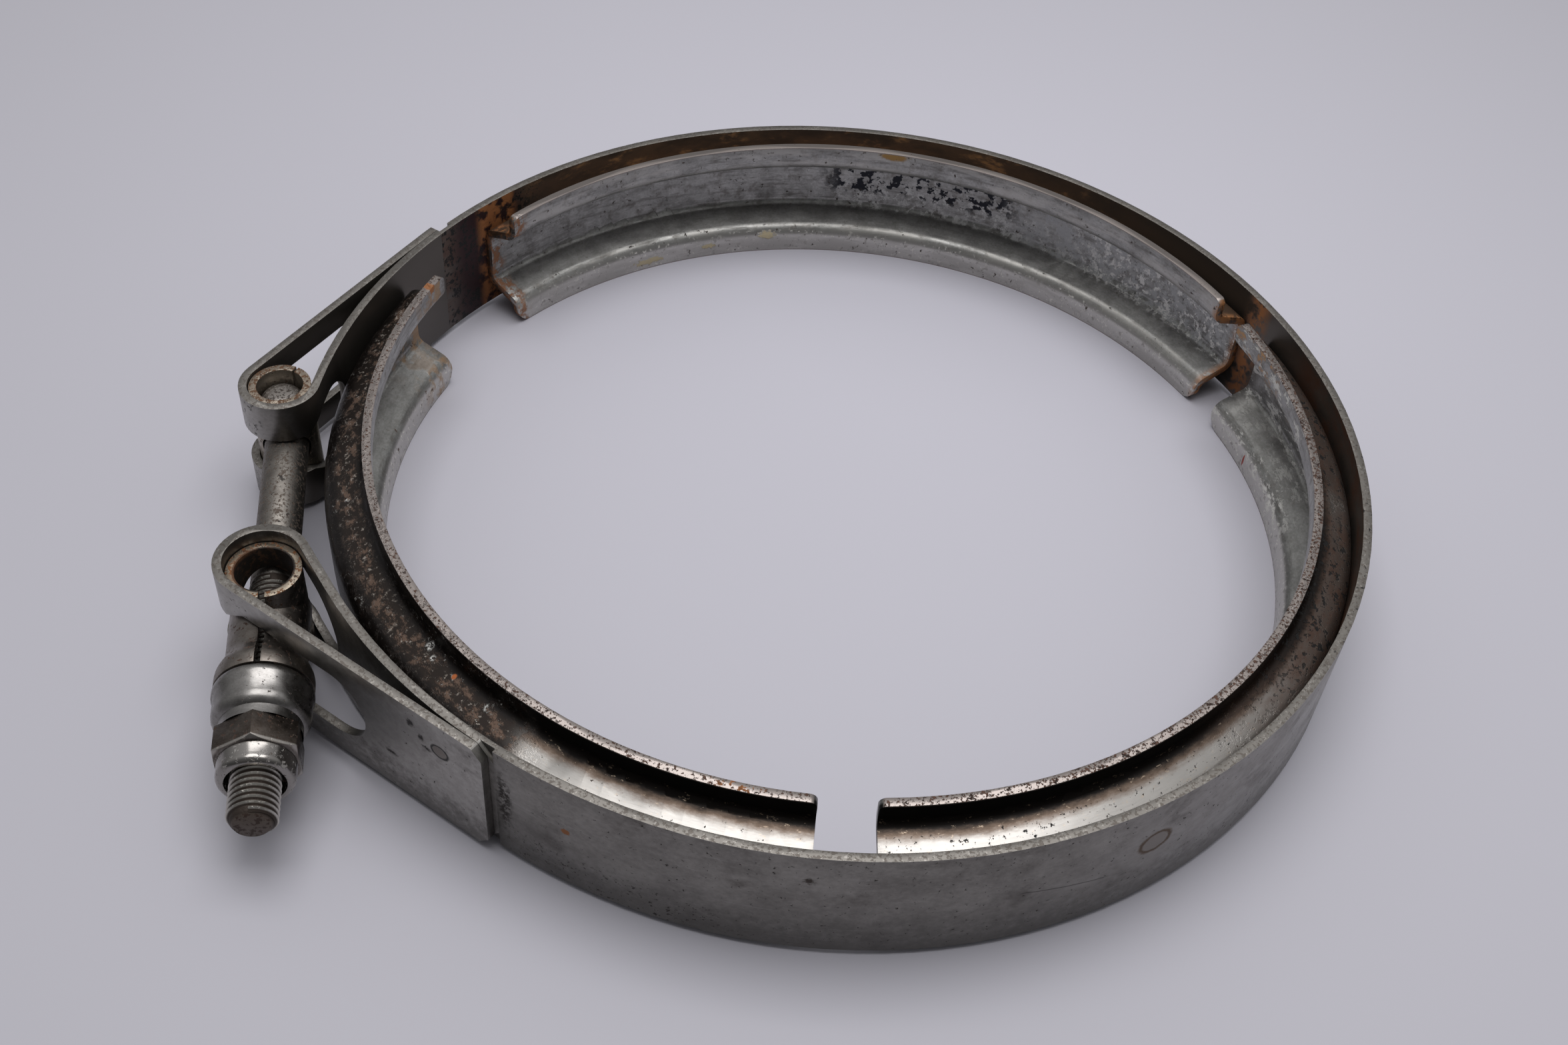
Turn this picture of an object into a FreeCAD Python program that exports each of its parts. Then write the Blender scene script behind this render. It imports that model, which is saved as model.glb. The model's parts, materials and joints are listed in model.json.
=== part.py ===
import FreeCAD, Part
import math
import os
import re
import Sketcher
from FreeCAD import Placement, Rotation, Vector

# V-band clamp, 7.12 in, with a T-bolt and a trunnion.
# Millimetres and degrees. The origin is the ring's centre at mid width, +Z along the ring's axis.
# Angles round the ring count from +X towards +Y. The bolt side of the clamp faces -X.
# The far loop holds the T-bolt's head, the near loop holds the trunnion.

driving = {
    # three pressed V retainers inside the strap
    "groove_radius": 90.42,
    "cut_spare": 1.0,
    "retainer_sheet": 1.55,
    "retainer_width": 26.5,
    "web_width": 12.8,
    "leg_angle": 20.0,
    "groove_depth": 7.22,
    "retainer_bend": 1.6,
    "lip_corner_top": 1.3,
    "lip_corner_low": 3.4,
    "left_start_angle": 159.5,
    "left_span_angle": 110.0,
    "right_span_angle": 110.4,
    "near_gap_angle": 6.1,
    "back_gap_angle": 4.6,
    "far_gap_angle": 15.0,
    # outer strap, one strip folded back into a windowed loop at each end
    "seat_gap": 0.03,
    "strap_sheet": 1.5,
    "strap_width": 24.0,
    "fold_gap": 0.05,
    "far_lift_angle": 140.0,
    "far_leave_angle": 178.85,
    "far_slack": 7.483,
    "far_leg": 1.033,
    "far_tail": 5.6,
    "near_lift_angle": 255.0,
    "near_leave_angle": 215.98,
    "near_slack": 9.781,
    "near_leg": 11.153,
    "near_tail": 1.7,
    "tail_clip": 2.0,
    "window_neck": 8.5,
    "neck_end": 1.5,
    "slot_start": 3.0,
    "window_width": 14.0,
    "window_reach": 28.9,
    "window_inner_reach": 14.0,
    "leg_cut": 3.6,
    # T-bolt, 5/16-24, with its split sleeve
    "head_radius": 3.95,
    "head_length": 19.4,
    "head_dome": 2.6,
    "shank_radius": 3.88,
    "thread_radius": 3.97,
    "plain_length": 38.6,
    "bolt_length": 86.5,
    "tip_chamfer": 0.9,
    "tip_run": 1.17,
    "sleeve_bore_gap": 0.15,
    "sleeve_sheet": 1.35,
    "sleeve_gap": 0.2,
    "sleeve_length": 22.8,
    "sleeve_slit": 0.5,
    "sleeve_slit_angle": 149.0,
    "shank_hole_gap": 0.35,
    # trunnion, one stamping rolled into a cross tube and a split stem
    "trunnion_sheet": 1.35,
    "tube_radius": 6.1,
    "tube_length": 19.0,
    "tube_gap": 0.2,
    "stem_radius": 6.5,
    "stem_plain": 12.3,
    "stem_reach": 18.0,
    "stem_mouth": 7.9,
    "mouth_length": 2.57,
    "stem_shoulder": 4.6,
    "bore_shift": 0.45,
    "stem_slit": 1.05,
    # swivel cup, nut and lock ring
    "cup_gap": 0.3,
    "cup_radius": 8.0,
    "cup_wall": 1.0,
    "cup_body": 5.4,
    "cup_length": 8.7,
    "cup_bore_gap": 0.33,
    "cup_lip_gap": 0.3,
    "flange_gap": 0.1,
    "flange_thickness": 3.2,
    "neck_radius": 6.3,
    "hex_flats": 12.7,
    "hex_length": 5.15,
    "hex_gap": 0.1,
    "collar_radius": 6.1,
    "collar_length": 3.6,
    "collar_rim": 0.1,
    "collar_opening": 4.75,
    "thread_gap": 0.05,
    "lock_ring_radius": 5.2,
    "lock_ring_bore": 4.04,
    "lock_ring_length": 1.7,
    "lock_ring_gap": 0.05,
}

doc = FreeCAD.newDocument("v_band_clamp")
sheet = doc.addObject("Spreadsheet::Sheet", "sizes")
for row, (alias, number) in enumerate(driving.items(), start=1):
    sheet.set(f"A{row}", alias)
    sheet.set(f"B{row}", str(number))
    sheet.setAlias(f"B{row}", alias)
doc.recompute()


def bound(formula):
    """Point every size's name in a formula at its cell."""
    return re.sub(r"[a-z_]+", lambda word: "sizes." + word[0] if word[0] in driving else word[0], formula)


def value(formula):
    return float(sheet.evalExpression(re.sub(r"sizes\.", "", bound(formula))))


# Derived radii and places, as formulas that the features are bound to.
web_outside = "(groove_radius + retainer_sheet)"
strap_inside = f"({web_outside} + seat_gap)"
strap_middle = f"({strap_inside} + strap_sheet / 2)"
sleeve_radius = "(head_radius + sleeve_bore_gap + sleeve_sheet)"
far_loop = f"({sleeve_radius} + sleeve_gap + strap_sheet / 2)"
near_loop = "(tube_radius + tube_gap + strap_sheet / 2)"


def pivot(end, loop, side):
    """Centre of a loop: off the slack arc, along the leg, then out by the loop's own radius."""
    slack, lift, leave, leg = (f"{end}_{word}" for word in ("slack", "lift_angle", "leave_angle", "leg"))
    reach = f"({strap_middle} + {slack} + {loop})"
    return (f"({reach} * cos({leave}) - {slack} * cos({lift}) - {side} * {leg} * sin({leave}))",
            f"({reach} * sin({leave}) - {slack} * sin({lift}) + {side} * {leg} * cos({leave}))")


far_x, far_y = pivot("far", far_loop, 1)
near_x, near_y = pivot("near", near_loop, -1)
pivot_distance = f"sqrt(({near_x} - {far_x}) ^ 2 + ({near_y} - {far_y}) ^ 2)"
bolt_heading = f"atan2({near_y} - {far_y}; {near_x} - {far_x})"
cup_rear = f"({pivot_distance} + stem_reach + cup_gap)"


def new_body(label):
    body = doc.addObject("PartDesign::Body", label)
    body.Label = label
    return body


def new_sketch(body, name, role, offset=None):
    """A sketch on one of the body's own origin planes, moved along its normal by offset."""
    drawing = body.newObject("Sketcher::SketchObject", name)
    origin_plane = next(item for item in body.Origin.OriginFeatures if item.Role == role)
    drawing.AttachmentSupport = [(origin_plane, "")]
    drawing.MapMode = "FlatFace"
    if offset:
        drawing.setExpression("AttachmentOffset.Base.z", bound(offset))
    return drawing


def hold(drawing, kind, geometry, point, formula):
    """Tie one coordinate of a sketch point to a formula."""
    index = drawing.addConstraint(Sketcher.Constraint(kind, -1, 1, geometry, point, value(formula)))
    drawing.setExpression(f"Constraints[{index}]", bound(formula))


def outline(drawing, corners):
    """Closed outline of straight lines, each corner tied to its two formulas. A third formula rounds it."""
    places = [Vector(value(corner[0]), value(corner[1]), 0) for corner in corners]
    for index, place in enumerate(places):
        drawing.addGeometry(Part.LineSegment(place, places[(index + 1) % len(places)]))
    for index, (across, up, *_) in enumerate(corners):
        drawing.addConstraint(Sketcher.Constraint("Coincident", index - 1 if index else len(places) - 1, 2, index, 1))
        hold(drawing, "DistanceX", index, 1, across)
        hold(drawing, "DistanceY", index, 1, up)
    for index, (_, _, *radius) in enumerate(corners):
        if radius:
            bend = drawing.GeometryCount
            drawing.fillet(index, 1, value(radius[0]), True, True)
            held = drawing.addConstraint(Sketcher.Constraint("Radius", bend, value(radius[0])))
            drawing.setExpression(f"Constraints[{held}]", bound(radius[0]))


def circle(drawing, radius):
    """Circle about the sketch's origin."""
    index = drawing.addGeometry(Part.Circle(Vector(), Vector(0, 0, 1), value(radius)))
    drawing.addConstraint(Sketcher.Constraint("Coincident", index, 3, -1, 1))
    held = drawing.addConstraint(Sketcher.Constraint("Radius", index, value(radius)))
    drawing.setExpression(f"Constraints[{held}]", bound(radius))


def pad(body, name, drawing, length, both_ways=False):
    feature = body.newObject("PartDesign::Pad", name)
    feature.Profile = drawing
    feature.setExpression("Length", bound(length))
    if both_ways:
        feature.SideType = "Symmetric"
    doc.recompute()
    return feature


def pocket(body, name, drawing, length, both_ways=False, forward=False):
    before = body.Shape.Volume
    feature = body.newObject("PartDesign::Pocket", name)
    feature.Profile = drawing
    feature.setExpression("Length", bound(length))
    feature.Reversed = forward
    if both_ways:
        feature.SideType = "Symmetric"
    doc.recompute()
    if feature.Shape.Volume > before - 0.1:
        raise RuntimeError(f"{name} cuts nothing")


def turn(body, name, drawing, axis, angle=None):
    """Add a profile turned about the sketch's axis."""
    feature = body.newObject("PartDesign::Revolution", name)
    feature.Profile = drawing
    feature.ReferenceAxis = (drawing, [axis])
    if angle:
        feature.setExpression("Angle", bound(angle))
    doc.recompute()
    return feature


def turn_away(body, name, drawing, axis):
    """Cut a profile turned about the sketch's axis."""
    before = body.Shape.Volume
    feature = body.newObject("PartDesign::Groove", name)
    feature.Profile = drawing
    feature.ReferenceAxis = (drawing, [axis])
    doc.recompute()
    if feature.Shape.Volume > before - 0.1:
        raise RuntimeError(f"{name} cuts nothing")


def round_off(body, name, radius, chosen):
    """Fillet the edges of the body's present shape that the test picks."""
    base = body.Tip
    names = [f"Edge{number}" for number, edge in enumerate(base.Shape.Edges, start=1) if chosen(edge)]
    if not names:
        raise RuntimeError(f"{name} finds no edge")
    feature = body.newObject("PartDesign::Fillet", name)
    feature.Base = (base, names)
    feature.setExpression("Radius", bound(radius))
    doc.recompute()


def near(measure, formula):
    return abs(measure - value(formula)) < 0.01


def is_ring(edge, radius, along=None, axis="z"):
    """True for a circular edge of this radius, at this height along the axis."""
    if not isinstance(edge.Curve, Part.Circle) or not near(edge.Curve.Radius, radius):
        return False
    return along is None or near(getattr(edge.Curve.Center, axis), along)


def place(body, x="0", y="0", heading="0"):
    """Stand a body at x, y, turned about Z."""
    body.Placement = Placement(Vector(), Rotation(Vector(0, 0, 1), 0))
    body.setExpression("Placement.Base.x", bound(x))
    body.setExpression("Placement.Base.y", bound(y))
    body.setExpression("Placement.Rotation.Angle", bound(heading))


# --- Retainers: pressed V section, a flat web with 20 degree legs and turned lips ---

lip_inside = "(groove_radius - groove_depth)"
lip_outside = f"({lip_inside} + retainer_sheet)"
mitre = "(retainer_sheet * tan(45 - leg_angle / 2))"
bend_height = "(web_width / 2 + groove_depth * tan(leg_angle))"


def retainer(label, start, span):
    body = new_body(label)
    section = new_sketch(body, label + "_section", "XZ_Plane")
    tight, wide = "retainer_bend", "(retainer_bend + retainer_sheet)"
    upper = [(web_outside, "web_width / 2", wide),
             (lip_outside, bend_height, tight),
             (lip_outside, "retainer_width / 2"),
             (lip_inside, "retainer_width / 2"),
             (lip_inside, f"({bend_height} - {mitre})", wide),
             ("groove_radius", f"(web_width / 2 - {mitre})", tight)]
    lower = [(across, f"-({up})", *bend) for across, up, *bend in reversed(upper)]
    outline(section, upper + lower)
    turn(body, label + "_press", section, "V_Axis", span)

    def lip_end(edge, side):
        ends = [vertex.Point for vertex in edge.Vertexes]
        if len(ends) < 2 or abs(edge.Length - value("retainer_sheet")) > 0.01:
            return False
        return all(abs(point.z - side * value("retainer_width / 2")) < 0.01 for point in ends)

    round_off(body, label + "_top_corners", "lip_corner_top", lambda edge: lip_end(edge, 1))
    round_off(body, label + "_low_corners", "lip_corner_low", lambda edge: lip_end(edge, -1))
    place(body, heading=start)
    return body


right_from = "(left_start_angle + left_span_angle + near_gap_angle)"
back_from = f"({right_from} + right_span_angle + back_gap_angle)"
back_span = "(360 - left_span_angle - right_span_angle - near_gap_angle - back_gap_angle - far_gap_angle)"
retainers = [retainer("retainer_left", "left_start_angle", "left_span_angle"),
             retainer("retainer_right", right_from, "right_span_angle"),
             retainer("retainer_back", back_from, back_span)]


# --- Strap: one strip. Each end lifts off the ring on a slacker arc, runs out along a leg, ---
# --- folds round its pivot and comes back to lie on the strip. The folds carry windows.   ---

def polar(radius, angle):
    return Vector(radius * math.cos(angle), radius * math.sin(angle), 0)


def arc(centre, radius, start, end):
    return {"centre": centre, "radius": radius, "start": start, "end": end}


def line(start, end):
    return {"line": (start, end)}


def strap_end(end, loop, side):
    """Middle line of one end of the strap, from the ring outwards. side is 1 where angles grow."""
    middle = value(strap_middle)
    lift, leave = (math.radians(value(f"{end}_{word}_angle")) for word in ("lift", "leave"))
    slack = middle + value(f"{end}_slack")
    centre = polar(middle - slack, lift)
    onward = polar(side, leave + math.pi / 2)
    leg_start = centre + polar(slack, leave)
    leg_end = leg_start + onward * value(f"{end}_leg")
    fold = value(loop)
    fold_centre = leg_end + polar(fold, leave)
    # the outer leg touches both the fold and the layer that lies on the strap
    layer = slack + value("strap_sheet + fold_gap")
    between = fold_centre - centre
    aim = math.atan2(between.y, between.x) - side * math.acos((layer - fold) / between.Length)
    landing = centre + polar(layer, aim)
    tail = side * value(f"{end}_tail") / layer
    foot = fold_centre + polar(fold, aim)
    turned = (leave + math.pi - aim) % (2 * math.pi) if side > 0 else (aim - leave - math.pi) % (2 * math.pi)
    pieces = [arc(centre, slack, lift, leave),
              line(leg_start, leg_end),
              arc(fold_centre, fold, leave + math.pi, leave + math.pi - side * turned),
              line(foot, landing),
              arc(centre, layer, aim, aim - tail)]
    return {"pieces": pieces, "pivot": fold_centre, "foot": foot, "along": (landing - foot).normalize(),
            "out": polar(1, aim), "tip": centre + polar(layer, aim - tail), "lift": lift,
            "tip_along": polar(-side, aim - tail + math.pi / 2), "tip_out": polar(1, aim - tail)}


def reverse(pieces):
    flipped = []
    for piece in reversed(pieces):
        if "line" in piece:
            flipped.append(line(piece["line"][1], piece["line"][0]))
        else:
            flipped.append(arc(piece["centre"], piece["radius"], piece["end"], piece["start"]))
    return flipped


def offset_edge(piece, distance):
    """The piece moved to the left of its travel by distance."""
    if "line" in piece:
        start, end = piece["line"]
        travel = (end - start).normalize()
        left = Vector(-travel.y, travel.x, 0) * distance
        return Part.makeLine(start + left, end + left)
    shrink = distance if piece["end"] > piece["start"] else -distance
    radius = piece["radius"] - shrink
    angles = (piece["start"], (piece["start"] + piece["end"]) / 2, piece["end"])
    return Part.Arc(*(piece["centre"] + polar(radius, angle) for angle in angles)).toShape()


def folded_strip(path, thickness, width):
    left, right = ([offset_edge(piece, side * thickness / 2) for piece in path] for side in (1, -1))
    ends = [Part.makeLine(left[end].Vertexes[end].Point, right[end].Vertexes[end].Point) for end in (0, -1)]
    wire = Part.Wire(Part.__sortEdges__(left + right + ends))
    strip = Part.Face(wire).extrude(Vector(0, 0, width))
    strip.translate(Vector(0, 0, -width / 2))
    return strip


def window(end, reach, depth):
    """Cutter for a loop's window: a narrow neck round the fold, a wide slot with a round end."""
    neck, wide = value("window_neck") / 2, value("window_width") / 2
    back = -2 * value(far_loop)
    straight = reach - wide

    def at(along, up):
        return end["foot"] + end["along"] * along + Vector(0, 0, up) + end["out"] * value("strap_sheet")

    start, full = -value("neck_end"), value("slot_start")
    points = [(back, -neck), (start, -neck), (full, -wide), (straight, -wide)]
    edges = [Part.makeLine(at(*first), at(*second)) for first, second in zip(points, points[1:])]
    edges.append(Part.Arc(at(straight, -wide), at(reach, 0), at(straight, wide)).toShape())
    mirrored = [(along, -up) for along, up in reversed(points)]
    edges += [Part.makeLine(at(*first), at(*second)) for first, second in zip(mirrored, mirrored[1:])]
    edges.append(Part.makeLine(at(back, neck), at(back, -neck)))
    return Part.Face(Part.Wire(edges)).extrude(end["out"] * -depth)


def corner_clip(end, up):
    """Cutter for one corner of a free end."""
    clip, half, spare = value("tail_clip"), value("strap_width") / 2, value("cut_spare")

    def at(along, height):
        return (end["tip"] + end["tip_along"] * along + Vector(0, 0, up * height)
                - end["tip_out"] * value("strap_sheet"))

    corners = [at(-clip - spare, half + spare), at(spare, half + spare), at(spare, half - clip - spare)]
    return Part.Face(Part.makePolygon(corners + corners[:1])).extrude(end["tip_out"] * 2 * value("strap_sheet"))


def strap():
    far = strap_end("far", far_loop, 1)
    near_end = strap_end("near", near_loop, -1)
    ring = arc(Vector(), value(strap_middle), near_end["lift"] - 2 * math.pi, far["lift"])
    path = reverse(near_end["pieces"]) + [ring] + far["pieces"]
    solid = folded_strip(path, value("strap_sheet"), value("strap_width"))
    for end, loop in ((far, far_loop), (near_end, near_loop)):
        through_loop = 2 * value(loop) + 3 * value("strap_sheet")
        solid = solid.cut(window(end, value("window_reach"), value("leg_cut")))
        solid = solid.cut(window(end, value("window_inner_reach"), through_loop))
        for up in (1, -1):
            solid = solid.cut(corner_clip(end, up))
    feature = doc.addObject("Part::Feature", "strap")
    feature.Label = "strap"
    feature.Shape = solid.Solids[0] if len(solid.Solids) == 1 else solid
    feature.Placement = Placement()
    return feature


strap_feature = strap()


# --- T-bolt: a threaded shank on +X with a cross pin for a head ---

t_bolt = new_body("t_bolt")
head = new_sketch(t_bolt, "head_section", "XY_Plane")
circle(head, "head_radius")
pad(t_bolt, "head_pin", head, "head_length", both_ways=True)
round_off(t_bolt, "head_domes", "head_dome", lambda edge: is_ring(edge, "head_radius"))
shank = new_sketch(t_bolt, "shank_section", "XZ_Plane")
outline(shank, [("0", "0"),
                ("bolt_length", "0"),
                ("bolt_length", "thread_radius - tip_chamfer"),
                ("bolt_length - tip_run", "thread_radius"),
                ("plain_length", "thread_radius"),
                ("plain_length - (thread_radius - shank_radius)", "shank_radius"),
                ("0", "shank_radius")])
turn(t_bolt, "shank", shank, "H_Axis")
place(t_bolt, far_x, far_y, bolt_heading)

# Split sleeve on the head, inside the far loop.
head_sleeve = new_body("head_sleeve")
rolled = new_sketch(head_sleeve, "sleeve_section", "XY_Plane")
circle(rolled, sleeve_radius)
circle(rolled, "(head_radius + sleeve_bore_gap)")
pad(head_sleeve, "sleeve_roll", rolled, "sleeve_length", both_ways=True)
shank_hole = new_sketch(head_sleeve, "shank_hole_section", "YZ_Plane")
circle(shank_hole, "(shank_radius + shank_hole_gap)")
pocket(head_sleeve, "shank_hole", shank_hole, f"{sleeve_radius} + cut_spare", forward=True)
slit = new_sketch(head_sleeve, "sleeve_slit_section", "XY_Plane")
slit_ends = (("head_radius", 1), (f"({sleeve_radius} + cut_spare)", 1), (f"({sleeve_radius} + cut_spare)", -1), ("head_radius", -1))
outline(slit, [(f"({reach} * cos(sleeve_slit_angle) - {side} * sleeve_slit / 2 * sin(sleeve_slit_angle))",
                f"({reach} * sin(sleeve_slit_angle) + {side} * sleeve_slit / 2 * cos(sleeve_slit_angle))")
               for reach, side in slit_ends])
pocket(head_sleeve, "sleeve_slit_cut", slit, "sleeve_length + 2 * cut_spare", both_ways=True)
place(head_sleeve, far_x, far_y, bolt_heading)


# --- Trunnion: a blank rolled into a tube across the loop and a split stem round the bolt ---

trunnion = new_body("trunnion")
tube = new_sketch(trunnion, "tube_section", "XY_Plane")
circle(tube, "tube_radius")
pad(trunnion, "cross_tube", tube, "tube_length", both_ways=True)
stem_bore = "(stem_radius - trunnion_sheet)"
mouth_bore = "(stem_mouth - trunnion_sheet)"
mouth_start = "(stem_reach - mouth_length)"
stem = new_sketch(trunnion, "stem_section", "XZ_Plane")
outline(stem, [("0", "0"),
               ("stem_reach", "0"),
               ("stem_reach", "stem_mouth"),
               (mouth_start, "stem_mouth", "stem_shoulder"),
               ("stem_plain", "stem_radius", "stem_shoulder"),
               ("0", "stem_radius")])
turn(trunnion, "stem_roll", stem, "H_Axis")
bore = new_sketch(trunnion, "stem_bore_section", "XZ_Plane")
outline(bore, [("-(tube_radius + cut_spare)", "0"),
               ("stem_reach + cut_spare", "0"),
               ("stem_reach + cut_spare", mouth_bore),
               (f"({mouth_start} + bore_shift)", mouth_bore),
               ("stem_plain + bore_shift", stem_bore),
               ("-(tube_radius + cut_spare)", stem_bore)])
turn_away(trunnion, "stem_bore", bore, "H_Axis")
tube_inside = new_sketch(trunnion, "tube_bore_section", "XY_Plane")
circle(tube_inside, "(tube_radius - trunnion_sheet)")
pocket(trunnion, "tube_bore", tube_inside, "tube_length + 2 * cut_spare", both_ways=True)
seam = new_sketch(trunnion, "seam_section", "XY_Plane")
outline(seam, [("0", "-stem_slit / 2"),
               ("stem_reach + cut_spare", "-stem_slit / 2"),
               ("stem_reach + cut_spare", "stem_slit / 2"),
               ("0", "stem_slit / 2")])
pocket(trunnion, "seam", seam, "tube_length + 2 * cut_spare", both_ways=True)
place(trunnion, near_x, near_y, bolt_heading)


# --- Swivel cup: a drawn cup that rides with the nut and seats on the stem's mouth ---

nut_cup = new_body("nut_cup")
cup_front = f"({cup_rear} + cup_length)"
cup_shoulder = f"({cup_rear} + cup_body)"
cup_inside = "(cup_radius - cup_wall)"
cup_lip = "(neck_radius + cup_lip_gap)"
cup = new_sketch(nut_cup, "cup_section", "XZ_Plane")
outline(cup, [(cup_rear, "thread_radius + cup_bore_gap"),
              (cup_rear, "cup_radius"),
              (cup_shoulder, "cup_radius"),
              (cup_front, f"({cup_lip} + cup_wall / 2)"),
              (cup_front, cup_lip),
              (f"({cup_shoulder} - cup_wall / 2)", cup_inside),
              (f"({cup_rear} + cup_wall)", cup_inside),
              (f"({cup_rear} + cup_wall)", "thread_radius + cup_bore_gap")])
turn(nut_cup, "cup_draw", cup, "H_Axis")
round_off(nut_cup, "cup_shoulder_round", "cup_body", lambda edge: is_ring(edge, "cup_radius", cup_shoulder, "x"))
place(nut_cup, far_x, far_y, bolt_heading)


# --- Hex nut: a flange trapped in the cup, a neck, the hexagon and a crowned collar ---

hex_nut = new_body("hex_nut")
flange_rear = f"({cup_rear} + cup_wall + flange_gap)"
flange_radius = f"({cup_inside} - flange_gap)"
hex_rear = f"({cup_front} + hex_gap)"
hex_front = f"({hex_rear} + hex_length)"
hex_corner = "(hex_flats / sqrt(3))"
collar_front = f"({hex_front} + collar_length)"
hexagon = new_sketch(hex_nut, "hexagon", "YZ_Plane", hex_rear)
outline(hexagon, [(f"({hex_corner} * sin({angle}))", f"({hex_corner} * cos({angle}))") for angle in range(0, 360, 60)])
pad(hex_nut, "hex_body", hexagon, "hex_length")
crowns = new_sketch(hex_nut, "hex_crown_section", "XZ_Plane")
crown = f"(({hex_corner} - hex_flats / 2) * tan(30))"
outside = f"({hex_corner} + cut_spare)"
slope_end = f"({crown} + cut_spare * tan(30))"
outline(crowns, [(hex_front, "hex_flats / 2"), (hex_front, outside), (f"({hex_front} - {slope_end})", outside)])
turn_away(hex_nut, "hex_crown", crowns, "H_Axis")
waist = new_sketch(hex_nut, "waist_section", "XZ_Plane")
outline(waist, [(flange_rear, "0"),
                (flange_rear, flange_radius),
                (f"({flange_rear} + flange_thickness)", flange_radius),
                (f"({flange_rear} + flange_thickness)", "neck_radius"),
                (hex_rear, "neck_radius"),
                (hex_rear, "0")])
turn(hex_nut, "flange_and_neck", waist, "H_Axis")
collar = new_sketch(hex_nut, "collar_section", "XZ_Plane")
outline(collar, [(hex_front, "0"), (hex_front, "collar_radius"), (collar_front, "collar_radius"), (collar_front, "0")])
turn(hex_nut, "collar", collar, "H_Axis")
lock_seat = "(lock_ring_radius + lock_ring_gap)"
lock_rear = f"({hex_front} + lock_ring_gap)"
lock_front = f"({lock_rear} + lock_ring_length)"
inside = new_sketch(hex_nut, "nut_bore_section", "XZ_Plane")
outline(inside, [(f"({flange_rear} - cut_spare)", "0"),
                 (f"({flange_rear} - cut_spare)", "thread_radius + thread_gap"),
                 (f"({lock_rear} - lock_ring_gap)", "thread_radius + thread_gap"),
                 (f"({lock_rear} - lock_ring_gap)", lock_seat),
                 (f"({lock_front} + lock_ring_gap)", lock_seat),
                 (f"({lock_front} + lock_ring_gap)", "collar_opening"),
                 (f"({collar_front} + cut_spare)", "collar_opening"),
                 (f"({collar_front} + cut_spare)", "0")])
turn_away(hex_nut, "nut_bore", inside, "H_Axis")
round_off(hex_nut, "collar_round", "collar_radius - collar_opening - collar_rim",
          lambda edge: is_ring(edge, "collar_radius", collar_front, "x"))
place(hex_nut, far_x, far_y, bolt_heading)

nut_lock_ring = new_body("nut_lock_ring")
insert = new_sketch(nut_lock_ring, "lock_section", "XZ_Plane")
outline(insert, [(lock_rear, "lock_ring_bore"),
                 (lock_rear, "lock_ring_radius"),
                 (lock_front, "lock_ring_radius"),
                 (lock_front, "lock_ring_bore")])
turn(nut_lock_ring, "lock_insert", insert, "H_Axis")
place(nut_lock_ring, far_x, far_y, bolt_heading)


# --- Check and export ---

parts = retainers + [strap_feature, t_bolt, head_sleeve, trunnion, nut_cup, hex_nut, nut_lock_ring]
doc.recompute()
for item in doc.Objects:
    if "Invalid" in item.State or "Error" in item.State:
        raise RuntimeError(f"{item.Label} failed: {item.State}")
for piece in parts:
    shape = piece.Shape
    if shape.isNull() or not shape.isValid() or len(shape.Solids) != 1:
        raise RuntimeError(f"{piece.Label} is not one valid solid")

os.makedirs("parts", exist_ok=True)
for piece in parts:
    piece.Shape.exportStep(os.path.join("parts", piece.Label + ".step"))
    print(f"{piece.Label:16} {piece.Shape.Volume:10.1f} mm3  {piece.Shape.BoundBox}")
print("pivots", [round(value(spot), 4) for spot in (far_x, far_y, near_x, near_y, pivot_distance, bolt_heading)])
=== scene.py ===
import json
import math
import bpy
from mathutils import Matrix, Vector


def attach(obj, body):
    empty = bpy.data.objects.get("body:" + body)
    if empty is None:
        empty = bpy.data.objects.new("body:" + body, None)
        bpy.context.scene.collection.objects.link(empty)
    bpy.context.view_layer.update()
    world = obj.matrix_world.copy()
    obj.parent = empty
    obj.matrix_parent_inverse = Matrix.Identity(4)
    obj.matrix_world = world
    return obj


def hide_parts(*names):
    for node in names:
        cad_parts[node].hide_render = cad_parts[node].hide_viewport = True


mm = 0.001


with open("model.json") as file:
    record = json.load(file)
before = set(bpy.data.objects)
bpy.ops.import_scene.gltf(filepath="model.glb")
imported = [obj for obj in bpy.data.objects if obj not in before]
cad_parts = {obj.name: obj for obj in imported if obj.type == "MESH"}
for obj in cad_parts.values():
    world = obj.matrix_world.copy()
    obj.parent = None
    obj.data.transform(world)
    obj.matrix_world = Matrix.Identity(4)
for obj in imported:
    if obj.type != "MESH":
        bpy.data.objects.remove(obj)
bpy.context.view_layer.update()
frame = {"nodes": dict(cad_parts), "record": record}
nodes = frame["nodes"]
joints = {joint["name"]: joint for joint in frame["record"]["behaviour"]["joints"]}
print("frame loaded:", len(nodes), "nodes")


# camera, sky, lamp and floor; places and angles in mm and degrees, lamp and floor sizes in metres
view = {"place": (-9.318, -237.835, 226.868), "down": 45.57, "roll": 5.14, "lens": 41.0, "sensor": 36,
        "near": 0.01}
light = {"skyLow": 0.22, "skyHigh": 0.62, "skyTint": (0.97, 0.98, 1.0), "skyRise": (0.0, 0.9),
         "frontShade": 0.35, "frontRise": (-0.7, 0.3),
         "panelPlace": (0.05, 0.08, 1.15), "panelSize": (1.05, 0.85), "panelPower": 9.5,
         "panelTint": (0.99, 0.99, 1.0)}
floorLook = {"colour": (0.57, 0.556, 0.618), "far": (0.38, 0.37, 0.40), "middle": (0.02, 0.07), "size": 4.0,
             "height": -13.25, "paintedFalloff": (0.04, 0.38), "rough": 0.55}


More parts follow.
